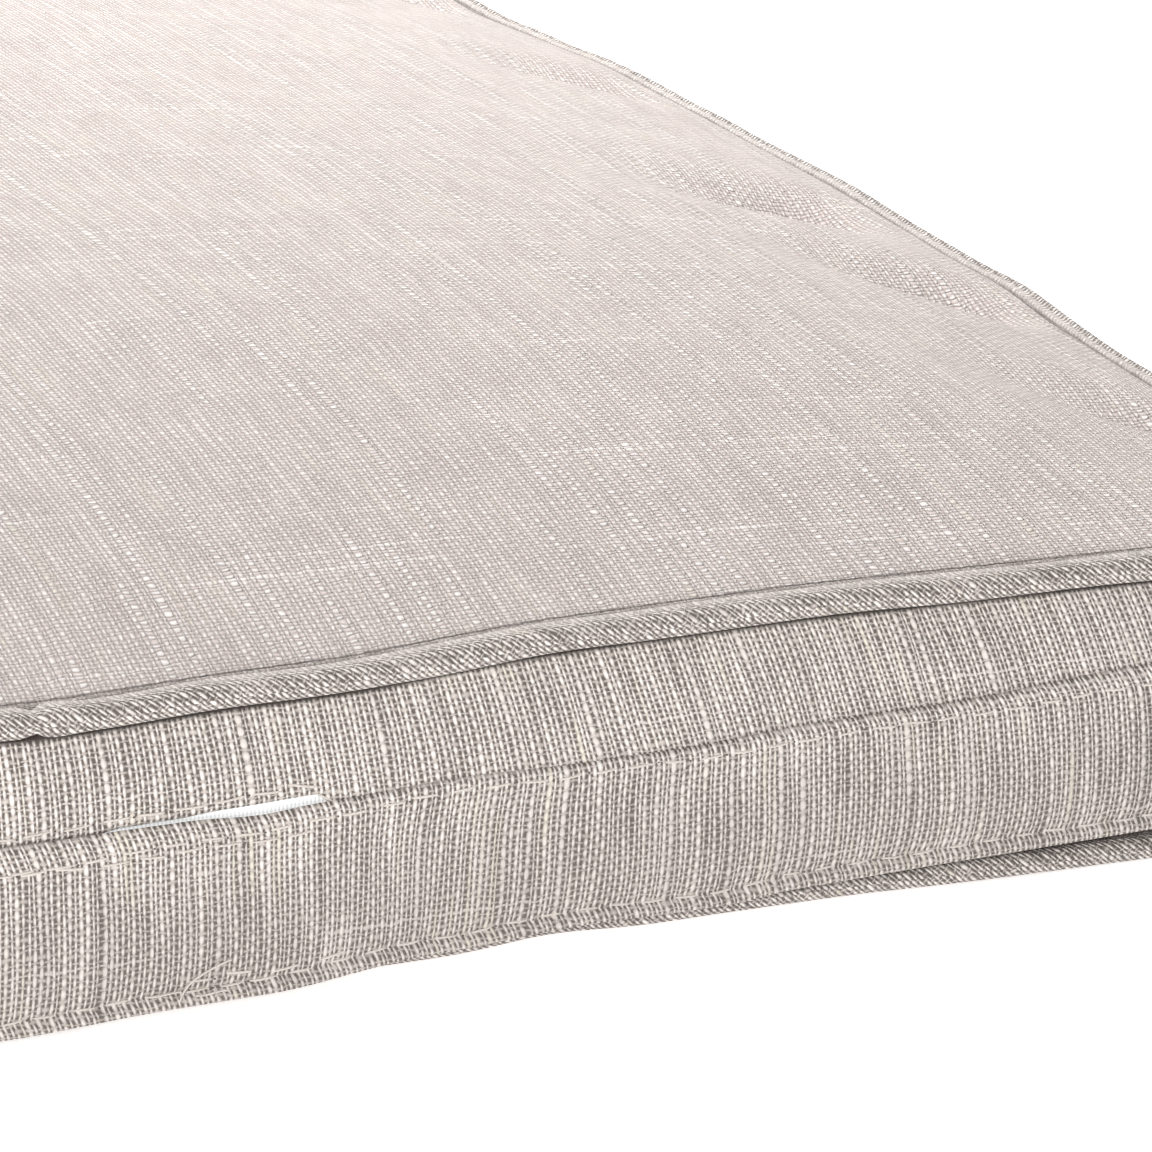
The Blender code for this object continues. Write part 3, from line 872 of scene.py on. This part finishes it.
def sheet_sections(outer_out, outer_height, thickness):
    """Closed sections of a sheet from its outer face: the edges are rounded over."""
    edge = EDGE_ROUNDING * thickness
    down = np.sign(outer_height[:, :1] - outer_height[:, -1:])
    inner_out = outer_out - thickness
    top = np.stack([outer_out[:, 0] - 0.5 * thickness, outer_height[:, 0] + down[:, 0] * edge], -1)
    low = np.stack([outer_out[:, -1] - 0.5 * thickness, outer_height[:, -1] - down[:, 0] * edge], -1)
    outs = np.concatenate([top[:, :1], outer_out, low[:, :1], inner_out[:, ::-1]], 1)
    heights = np.concatenate([top[:, 1:], outer_height, low[:, 1:], outer_height[:, ::-1]], 1)
    return outs, heights


def sheet_uv(across, along):
    """Cloth places of closed sections: the inner face repeats the outer one's."""
    across = np.concatenate([across[:, :1], across, across[:, -1:], across[:, ::-1], across[:, :1]], 1)
    along = np.concatenate([along[:, :1], along, along[:, -1:], along[:, ::-1], along[:, :1]], 1)
    return np.stack([across, along], -1)


def plain_boxing(material):
    end = ZIP_HALF_LENGTH + CLEARANCE
    runs = np.arange(end, 4.0 * SIDE - end, BOXING_STEP)
    runs = np.append(runs, 4.0 * SIDE - end)
    side = np.floor((runs + HALF) / SIDE).astype(int)
    seam = Seam(column(side % 4), column(runs - side * SIDE))
    levels = np.linspace(0.0, 1.0, BOXING_LEVELS)
    high = seam.top - BOXING_TUCK
    heights = high + (seam.bottom + BOXING_TUCK - high) * levels
    sag = unevenness(column(runs), heights, *BOXING_RIPPLES) * np.sin(math.pi * levels)
    outs = seam.boxing_face(heights) + RIPPLE * sag
    outs, sections = sheet_sections(outs, heights, CLOTH)
    uv = sheet_uv(column(runs) + 0.0 * heights, heights)
    return closed_strip("boxing_strip", seam, outs, sections, uv, material)


def front_places(half_length):
    return np.linspace(-half_length, half_length, int(2.0 * half_length / FRONT_STEP))


# Lean of the upright yarns: place along the front, sideways run per metre of height.
UPPER_LEAN = ((-0.176, 0.02), (0.000, 0.06), (0.045, 0.16), (0.095, 0.32), (0.176, 0.38))
LOWER_LEAN_TOP = (
    (-0.176, 0.0), (0.030, -0.02), (0.062, -0.34), (0.088, -0.22), (0.115, 0.02),
    (0.145, 0.14), (0.176, 0.14),
)
LOWER_LEAN_FOOT = ((-0.176, -0.25), (0.030, -0.25), (0.080, -0.20), (0.120, -0.40), (0.176, -0.45))
HEM_BAND_LEAN = 0.55
FOLD_BAND_LEAN = 0.40
LEAN_TOP_REACH = 0.008
LEAN_FOOT_REACH = 0.006


def upper_zip_strip(material):
    places = column(front_places(ZIP_HALF_LENGTH))
    seam = Seam(FRONT, places)
    high = seam.top - BOXING_TUCK
    fold = along_table(UPPER_FOLD, places)
    levels = np.linspace(0.0, 1.0, UPPER_LEVELS)
    heights = high + (fold - high) * levels
    sag = UPPER_RIPPLE * unevenness(places, heights, *UPPER_RIPPLES)
    outs = seam.boxing_face(heights) + sag * np.sin(math.pi * levels)
    above = heights - fold
    outs = outs - dent(above - UPPER_ROW, UPPER_ROW_DENT) - dent(above, EDGE_DENT)
    outs, sections = sheet_sections(outs, heights, STRIP_CLOTH)
    uv = sheet_uv(places - along_table(UPPER_LEAN, places) * (high - heights), heights)
    return closed_strip("zip_strip_upper", seam, outs, sections, uv, material)


def free_edge(places):
    """Height of the lower strip's free edge, and how near the strip's ends a place is, from 0 to 1."""
    near_end = ease((np.abs(places) - ZIP_HALF_LENGTH + HEM_END_RUN) / HEM_END_RUN)
    hem = along_table(HEM_LINE, places)
    return hem + (HEM_END - hem) * near_end, near_end


def lower_surface(places, drops):
    """Outer face of the lower zip strip: how far out and how high, at shares of its depth."""
    seam = Seam(FRONT, places)
    high = along_table(LOWER_FOLD, places)
    low, end = free_edge(places)
    heights = high + (low - high) * drops
    lapped = seam.boxing_face(np.maximum(heights, 0.5 * TOP_SEAM)) + STRIP_STEP
    hanging = HEM_OUT + (seam.boxing_face(low) + STRIP_STEP - HEM_OUT) * end
    outs = lapped + (hanging - lapped) * ease(drops / HANGING_SHARE)
    below_fold = high - heights
    above_hem = heights - low
    outs = outs + HEM_EXTRA * (1.0 - ease((above_hem - 0.6 * HEM_BAND) / (0.5 * HEM_BAND)))
    middle = np.sin(math.pi * np.clip(drops, 0.0, 1.0))
    outs = outs + RIPPLE * unevenness(places, heights, *LOWER_RIPPLES) * middle
    outs = outs - dent(below_fold - along_table(LOWER_ROW, places), LOWER_ROW_DENT)
    outs = outs - dent(above_hem - HEM_ROW, HEM_ROW_DENT)
    outs = outs - dent(below_fold, EDGE_DENT) - dent(above_hem, EDGE_DENT)
    return outs, heights, high, low


def lower_zip_strip(material):
    places = column(front_places(ZIP_HALF_LENGTH))
    drops = np.linspace(0.0, 1.0, LOWER_LEVELS)
    outs, heights, high, low = lower_surface(places, drops)
    outs, sections = sheet_sections(outs, heights, STRIP_CLOTH)
    top_lean = along_table(LOWER_LEAN_TOP, places)
    foot_lean = along_table(LOWER_LEAN_FOOT, places)
    depth = high - heights
    above = np.maximum(heights - low, 0.0)
    shift = top_lean * LEAN_TOP_REACH * (1.0 - np.exp(-depth / LEAN_TOP_REACH))
    shift = shift + foot_lean * LEAN_FOOT_REACH * np.exp(-above / LEAN_FOOT_REACH)
    shift = shift + HEM_BAND_LEAN * np.maximum(HEM_ROW - above, 0.0)
    row = along_table(LOWER_ROW, places)
    shift = shift - FOLD_BAND_LEAN * np.maximum(row - depth, 0.0)
    uv = sheet_uv(places - shift, heights)
    return closed_strip("zip_strip_lower", Seam(FRONT, places), outs, sections, uv, material)


def zip_tape(material):
    places = column(front_places(TAPE_HALF_LENGTH)[::2])
    seam = Seam(FRONT, places)
    across = 0.5 * TAPE_WIDTH * np.linspace(1.0, -1.0, TAPE_LEVELS)
    heights = ZIP_LINE + 0.0 * places + across
    outs = seam.boxing_face(heights) - STRIP_CLOTH - TAPE_GAP
    outs, sections = sheet_sections(outs, heights, TAPE_CLOTH)
    uv = sheet_uv(places + 0.0 * heights, heights)
    return closed_strip("zip_tape_shown", seam, outs, sections, uv, material)


# Stitches: steps along one and round its thread, the way it faces, and the least and most that
# each is tilted and scaled. The needle's holes are flattened dark balls, painted shade of the holes.
STITCH_STEPS = 9
THREAD_SIDES = 7
STITCH_OUTWARD = (0.0, -1.0, 0.05)
STITCH_TILT = ((-0.10, -0.06, -0.10), (0.10, 0.06, 0.10))
STITCH_SCALE = ((0.86, 0.85, 0.60), (1.06, 1.15, 1.10))
HOLE_SHAPE = (1.0, 0.8, 0.35)
# The upper rows lie this much into the cloth and the lower ones out of it.
STITCH_LIFT = 0.00005
# Runs of the rows along the front, and the mending row's height above the hem's row.
ROW_STEP = 0.001
ROW_END_GAP = 0.004
UPPER_ROW_RUN = (-0.045, 0.043)
SECOND_ROW_END = 0.038
MENDING_RUN = (0.022, 0.042)
MENDING_ABOVE = 0.0012
# Wander of the rows: height, radians of its wave per metre.
UPPER_WANDER = (0.0001, 210.0)
LOWER_WANDER = (0.00012, 190.0)
MENDING_WANDER = (0.0003, 300.0)


def stitch_tree(material, hole_shade_material):
    """Geometry nodes that lay bowed stitches and their needle holes along a line."""
    tree = bpy.data.node_groups.new("stitches", "GeometryNodeTree")
    face = tree.interface
    face.new_socket("Line", in_out="INPUT", socket_type="NodeSocketGeometry")
    sizes = (
        ("Pitch", STITCH_PITCH),
        ("Length", STITCH_LENGTH),
        ("Thread radius", THREAD_RADIUS),
        ("Bow", STITCH_BOW),
        ("Hole radius", HOLE_RADIUS),
    )
    for name, value in sizes:
        face.new_socket(name, in_out="INPUT", socket_type="NodeSocketFloat").default_value = value
    face.new_socket("Seed", in_out="INPUT", socket_type="NodeSocketInt")
    face.new_socket("Stitches", in_out="OUTPUT", socket_type="NodeSocketGeometry")

    def add(kind, settings=(), **inputs):
        node = tree.nodes.new(kind)
        for name, value in dict(settings).items():
            setattr(node, name, value)
        for name, value in inputs.items():
            socket = node.inputs[name.replace("_", " ")]
            if isinstance(value, bpy.types.NodeSocket):
                tree.links.new(value, socket)
            else:
                socket.default_value = value
        return node.outputs[0]

    def times(value, factor):
        product = add("ShaderNodeMath", {"operation": "MULTIPLY"})
        tree.links.new(value, product.node.inputs[0])
        product.node.inputs[1].default_value = factor
        return product

    given = tree.nodes.new("NodeGroupInput").outputs
    line = add("GeometryNodeMeshToCurve", Mesh=given["Line"])
    spacing = {"Curve": line, "Length": given["Pitch"]}
    spots = add("GeometryNodeResampleCurve", {"mode": "LENGTH"}, **spacing)
    dip = times(given["Bow"], -1.0)
    start = add("ShaderNodeCombineXYZ", X=times(given["Length"], -0.5), Z=dip)
    end = add("ShaderNodeCombineXYZ", X=times(given["Length"], 0.5), Z=dip)
    middle = add("ShaderNodeCombineXYZ", Z=given["Bow"])
    bends = {"Start": start, "Middle": middle, "End": end}
    arc = add("GeometryNodeCurveQuadraticBezier", Resolution=STITCH_STEPS, **bends)
    ring = add("GeometryNodeCurvePrimitiveCircle", Resolution=THREAD_SIDES, Radius=given["Thread radius"])
    outline = {"Curve": arc, "Profile_Curve": ring}
    tube = add("GeometryNodeCurveToMesh", Fill_Caps=True, **outline)
    sewn = add("GeometryNodeSetMaterial", Geometry=tube, Material=material)
    # The needle hole: a dark ball, painted shade of the hole.
    ball = add("GeometryNodeMeshIcoSphere", Radius=given["Hole radius"], Subdivisions=1)
    beside = add("ShaderNodeCombineXYZ", X=times(given["Pitch"], 0.5))
    flattened = {"Translation": beside, "Scale": HOLE_SHAPE}
    hole = add("GeometryNodeTransform", Geometry=ball, **flattened)
    pierced = add("GeometryNodeSetMaterial", Geometry=hole, Material=hole_shade_material)
    thread = tree.nodes.new("GeometryNodeJoinGeometry")
    tree.links.new(sewn, thread.inputs[0])
    tree.links.new(pierced, thread.inputs[0])
    tangent = add("GeometryNodeInputTangent")
    first = add("FunctionNodeAlignEulerToVector", {"axis": "X"}, Vector=tangent)
    upright = {"axis": "Z", "pivot_axis": "X"}
    second = add("FunctionNodeAlignEulerToVector", upright, Rotation=first, Vector=STITCH_OUTWARD)
    tilt = add("FunctionNodeRandomValue", {"data_type": "FLOAT_VECTOR"}, Seed=given["Seed"])
    scale = add("FunctionNodeRandomValue", {"data_type": "FLOAT_VECTOR"}, Seed=given["Seed"])
    for random, limits in ((tilt, STITCH_TILT), (scale, STITCH_SCALE)):
        low, high = random.node.inputs[:2]
        low.default_value, high.default_value = limits
    own_axes = {"rotation_type": "EULER", "space": "LOCAL"}
    turned = add("FunctionNodeRotateEuler", own_axes, Rotation=second, Rotate_By=tilt)
    laid = add(
        "GeometryNodeInstanceOnPoints",
        Points=spots,
        Instance=thread.outputs[0],
        Rotation=turned,
        Scale=scale,
    )
    whole = add("GeometryNodeRealizeInstances", Geometry=laid)
    result = tree.nodes.new("NodeGroupOutput")
    tree.links.new(whole, result.inputs["Stitches"])
    return tree


def stitch_rows(name, rows, tree, materials):
    """One piece of stitches along several rows, each a list of points."""
    made = []
    for number, row in enumerate(rows):
        mesh = bpy.data.meshes.new(f"{name}_row")
        row = np.array(row, float)
        row[:, 1] += MIDDLE_SHIFT
        edges = [(k, k + 1) for k in range(len(row) - 1)]
        mesh.from_pydata(row.tolist(), edges, [])
        thing = placed(f"{name}_row", mesh)
        nodes = thing.modifiers.new("stitches", "NODES")
        nodes.node_group = tree
        nodes[tree.interface.items_tree["Seed"].identifier] = number + 1
        thing.update_tag()
        made.append(evaluated_mesh(thing))
        bpy.data.objects.remove(thing)
        bpy.data.meshes.remove(mesh)
    points, faces, slots = [], [], []
    for mesh in made:
        base = len(points)
        points += [tuple(v.co) for v in mesh.vertices]
        faces += [tuple(base + i for i in face.vertices) for face in mesh.polygons]
        slots += [materials.index(mesh.materials[face.material_index]) for face in mesh.polygons]
        bpy.data.meshes.remove(mesh)
    whole = bpy.data.meshes.new(name)
    whole.from_pydata(points, [], faces)
    for material in materials:
        whole.materials.append(material)
    whole.polygons.foreach_set("material_index", slots)
    whole.shade_smooth()
    return placed(name, whole)


def on_upper(places, above):
    """Points on the upper strip's face, a distance above its fold."""
    seam = Seam(FRONT, places)
    height = along_table(UPPER_FOLD, places) + above
    return seam.point(seam.boxing_face(height) - STITCH_LIFT, height)


def on_lower(places, below_fold=None, above_hem=None):
    """Points on the lower strip's face, below its fold or above its hem."""
    depth = along_table(LOWER_FOLD, places) - free_edge(places)[0]
    drop = 1.0 - above_hem / depth if below_fold is None else below_fold / depth
    outs, heights, _, _ = lower_surface(column(places), column(drop))
    return Seam(FRONT, places).point(outs[:, 0] + STITCH_LIFT, heights[:, 0])


# Loose thread ends at the hem: their thickness as a share of the sewing thread's, how far they
# stand off the cloth, and points of place along the front and height above the hem.
LOOSE_THREAD_SHARE = 0.8
LOOSE_THREAD_LIFT = 0.0003
LOOSE_THREADS = (
    ((0.0195, 0.0012), (0.0203, 0.0028), (0.0220, 0.0040), (0.0245, 0.0050), (0.0268, 0.0056)),
    ((0.0218, 0.0016), (0.0232, 0.0013), (0.0248, 0.0018), (0.0262, 0.0016)),
    ((0.0150, 0.0024), (0.0166, 0.0019), (0.0182, 0.0025), (0.0200, 0.0022)),
)


def loose_threads(material):
    """Thread ends left hanging where the hem's rows meet."""
    curve = bpy.data.curves.new("thread_ends", "CURVE")
    curve.dimensions = "3D"
    curve.bevel_depth = LOOSE_THREAD_SHARE * THREAD_RADIUS
    curve.bevel_resolution = 2
    curve.use_fill_caps = True
    for route in LOOSE_THREADS:
        places, heights = np.array(route).T
        points = on_lower(places, above_hem=heights)
        points[:, 1] += MIDDLE_SHIFT - LOOSE_THREAD_LIFT
        spline = curve.splines.new("NURBS")
        spline.points.add(len(points) - 1)
        spline.points.foreach_set("co", np.column_stack([points, np.ones(len(points))]).ravel())
        spline.order_u = 4
        spline.use_endpoint_u = True
    drawn = placed("thread_ends_drawn", curve)
    mesh = evaluated_mesh(drawn)
    bpy.data.objects.remove(drawn)
    tubes = bmesh.new()
    tubes.from_mesh(mesh)
    bmesh.ops.remove_doubles(tubes, verts=tubes.verts, dist=1e-6)
    bmesh.ops.recalc_face_normals(tubes, faces=tubes.faces)
    tubes.to_mesh(mesh)
    tubes.free()
    mesh.materials.clear()
    mesh.materials.append(material)
    mesh.shade_smooth()
    return placed("hem_thread_ends", mesh)


def between(places, run):
    return places[(places > run[0]) & (places < run[1])]


def wander(places, shape):
    height, waves = shape
    return height * np.sin(places * waves)


def sewing():
    thread = thread_material("sewing_thread", *THREAD_TONES)
    hole = thread_material("needle_hole_shade", *HOLE_SHADE_TONES)
    tree = stitch_tree(thread, hole)
    reach = ZIP_HALF_LENGTH - ROW_END_GAP
    whole = np.arange(-reach, reach, ROW_STEP)
    open_part = between(whole, UPPER_ROW_RUN)
    upper = [on_upper(open_part, UPPER_ROW + wander(open_part, UPPER_WANDER))]
    second = whole[whole < SECOND_ROW_END]
    lower = [
        on_lower(places, below_fold=along_table(row, places) + wander(places, LOWER_WANDER))
        for row, places in ((LOWER_ROW, whole), (SECOND_ROW, second))
    ]
    extra = between(whole, MENDING_RUN)
    hem = [
        on_lower(whole, above_hem=HEM_ROW + wander(whole, LOWER_WANDER)),
        on_lower(extra, above_hem=HEM_ROW + MENDING_ABOVE + wander(extra, MENDING_WANDER)),
    ]
    materials = [thread, hole]
    pieces = [
        stitch_rows("zip_stitches", upper + lower, tree, materials),
        stitch_rows("hem_stitches", hem, tree, materials),
        loose_threads(thread),
    ]
    bpy.data.node_groups.remove(tree)
    return pieces


# Stage, light and camera.
FLOOR_REACH = 6.0
FLOOR_DROP = 0.0002
FLOOR_TONE = (0.95, 0.95, 0.945, 1.0)
FLOOR_GLOW = 0.60
ROOM_LIGHT = 0.44
WHITE = (1.0, 1.0, 1.0, 1.0)
# Lights: name, place, the point that each faces, size, power.
LIGHTS = (
    ("key", (0.14, 0.22, 0.56), (0.06, 0.08, 0.05), 0.30, 4.2),
    ("fill", (-0.55, -1.10, 0.45), (0.05, -0.20, 0.03), 0.22, 7.6),
    ("back", (0.70, 1.20, 0.60), (0.0, 0.20, 0.03), 0.50, 5.0),
)


def make_stage():
    mesh = bpy.data.meshes.new("floor")
    signs = ((-1, -1), (1, -1), (1, 1), (-1, 1))
    corners = [(x * FLOOR_REACH, y * FLOOR_REACH, -FLOOR_DROP) for x, y in signs]
    mesh.from_pydata(corners, [], [(0, 1, 2, 3)])
    floor = placed("floor", mesh)
    material = bpy.data.materials.new("floor")
    material.use_nodes = True
    surface = material.node_tree.nodes["Principled BSDF"]
    set_inputs(surface, {"Base Color": FLOOR_TONE, "Roughness": 0.9})
    set_inputs(surface, {"Emission Color": WHITE, "Emission Strength": FLOOR_GLOW})
    mesh.materials.append(material)


def area_light(name, place, target, size, power):
    light = bpy.data.lights.new(name, "AREA")
    light.shape = "DISK"
    light.size = size
    light.energy = power
    thing = placed(name, light)
    thing.location = place
    x, y, z = (b - a for a, b in zip(place, target))
    thing.rotation_euler = (math.atan2(math.hypot(x, y), -z), 0.0, math.atan2(y, x) - 0.5 * math.pi)


def make_light():
    world = bpy.data.worlds.new("studio")
    world.use_nodes = True
    set_inputs(world.node_tree.nodes["Background"], {"Color": WHITE, "Strength": ROOM_LIGHT})
    bpy.context.scene.world = world
    bpy.context.scene.view_settings.view_transform = "Standard"
    for light in LIGHTS:
        area_light(*light)


def make_camera():
    camera = bpy.data.cameras.new("camera")
    camera.sensor_width = SENSOR_MM
    camera.lens = LENS_PIXELS / PHOTO_WIDTH * SENSOR_MM
    camera.clip_start = 0.05
    thing = placed("camera", camera)
    aim = Matrix.Rotation(-CAMERA_AZIMUTH, 4, "Z") @ Matrix.Rotation(0.5 * math.pi - CAMERA_DROP, 4, "X")
    thing.matrix_world = Matrix.Translation(CAMERA_AT) @ aim @ Matrix.Rotation(CAMERA_ROLL, 4, "Z")
    bpy.context.scene.camera = thing


def dress(piece, slot, *nodes):
    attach(piece, "root")
    if nodes:
        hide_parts(*nodes)


make_camera()
make_light()
make_stage()

boxing = boxing_cloth()
bias = piping_cloth()
pad = filled_pad(panel_cloth())
dress(pad, "panel_cloth", "filled_pad")
dress(piping("piping_top", True, bias), "piping_cloth", "top_piping")
dress(piping("piping_bottom", False, bias), "piping_cloth", "bottom_piping")
side_strip = plain_boxing(boxing)
upper_strip = upper_zip_strip(boxing)
lower_strip = lower_zip_strip(boxing)
tape = zip_tape(tape_cloth())
zip_stitches, hem_stitches, thread_ends = sewing()
dress(side_strip, "boxing_cloth", "plain_boxing")
dress(upper_strip, "boxing_cloth", "upper_zip_strip")
dress(lower_strip, "boxing_cloth", "lower_zip_strip")
dress(tape, "zip_tape_cloth", "zip_tape")
dress(zip_stitches, "boxing_cloth")
dress(hem_stitches, "boxing_cloth")
dress(thread_ends, "boxing_cloth")
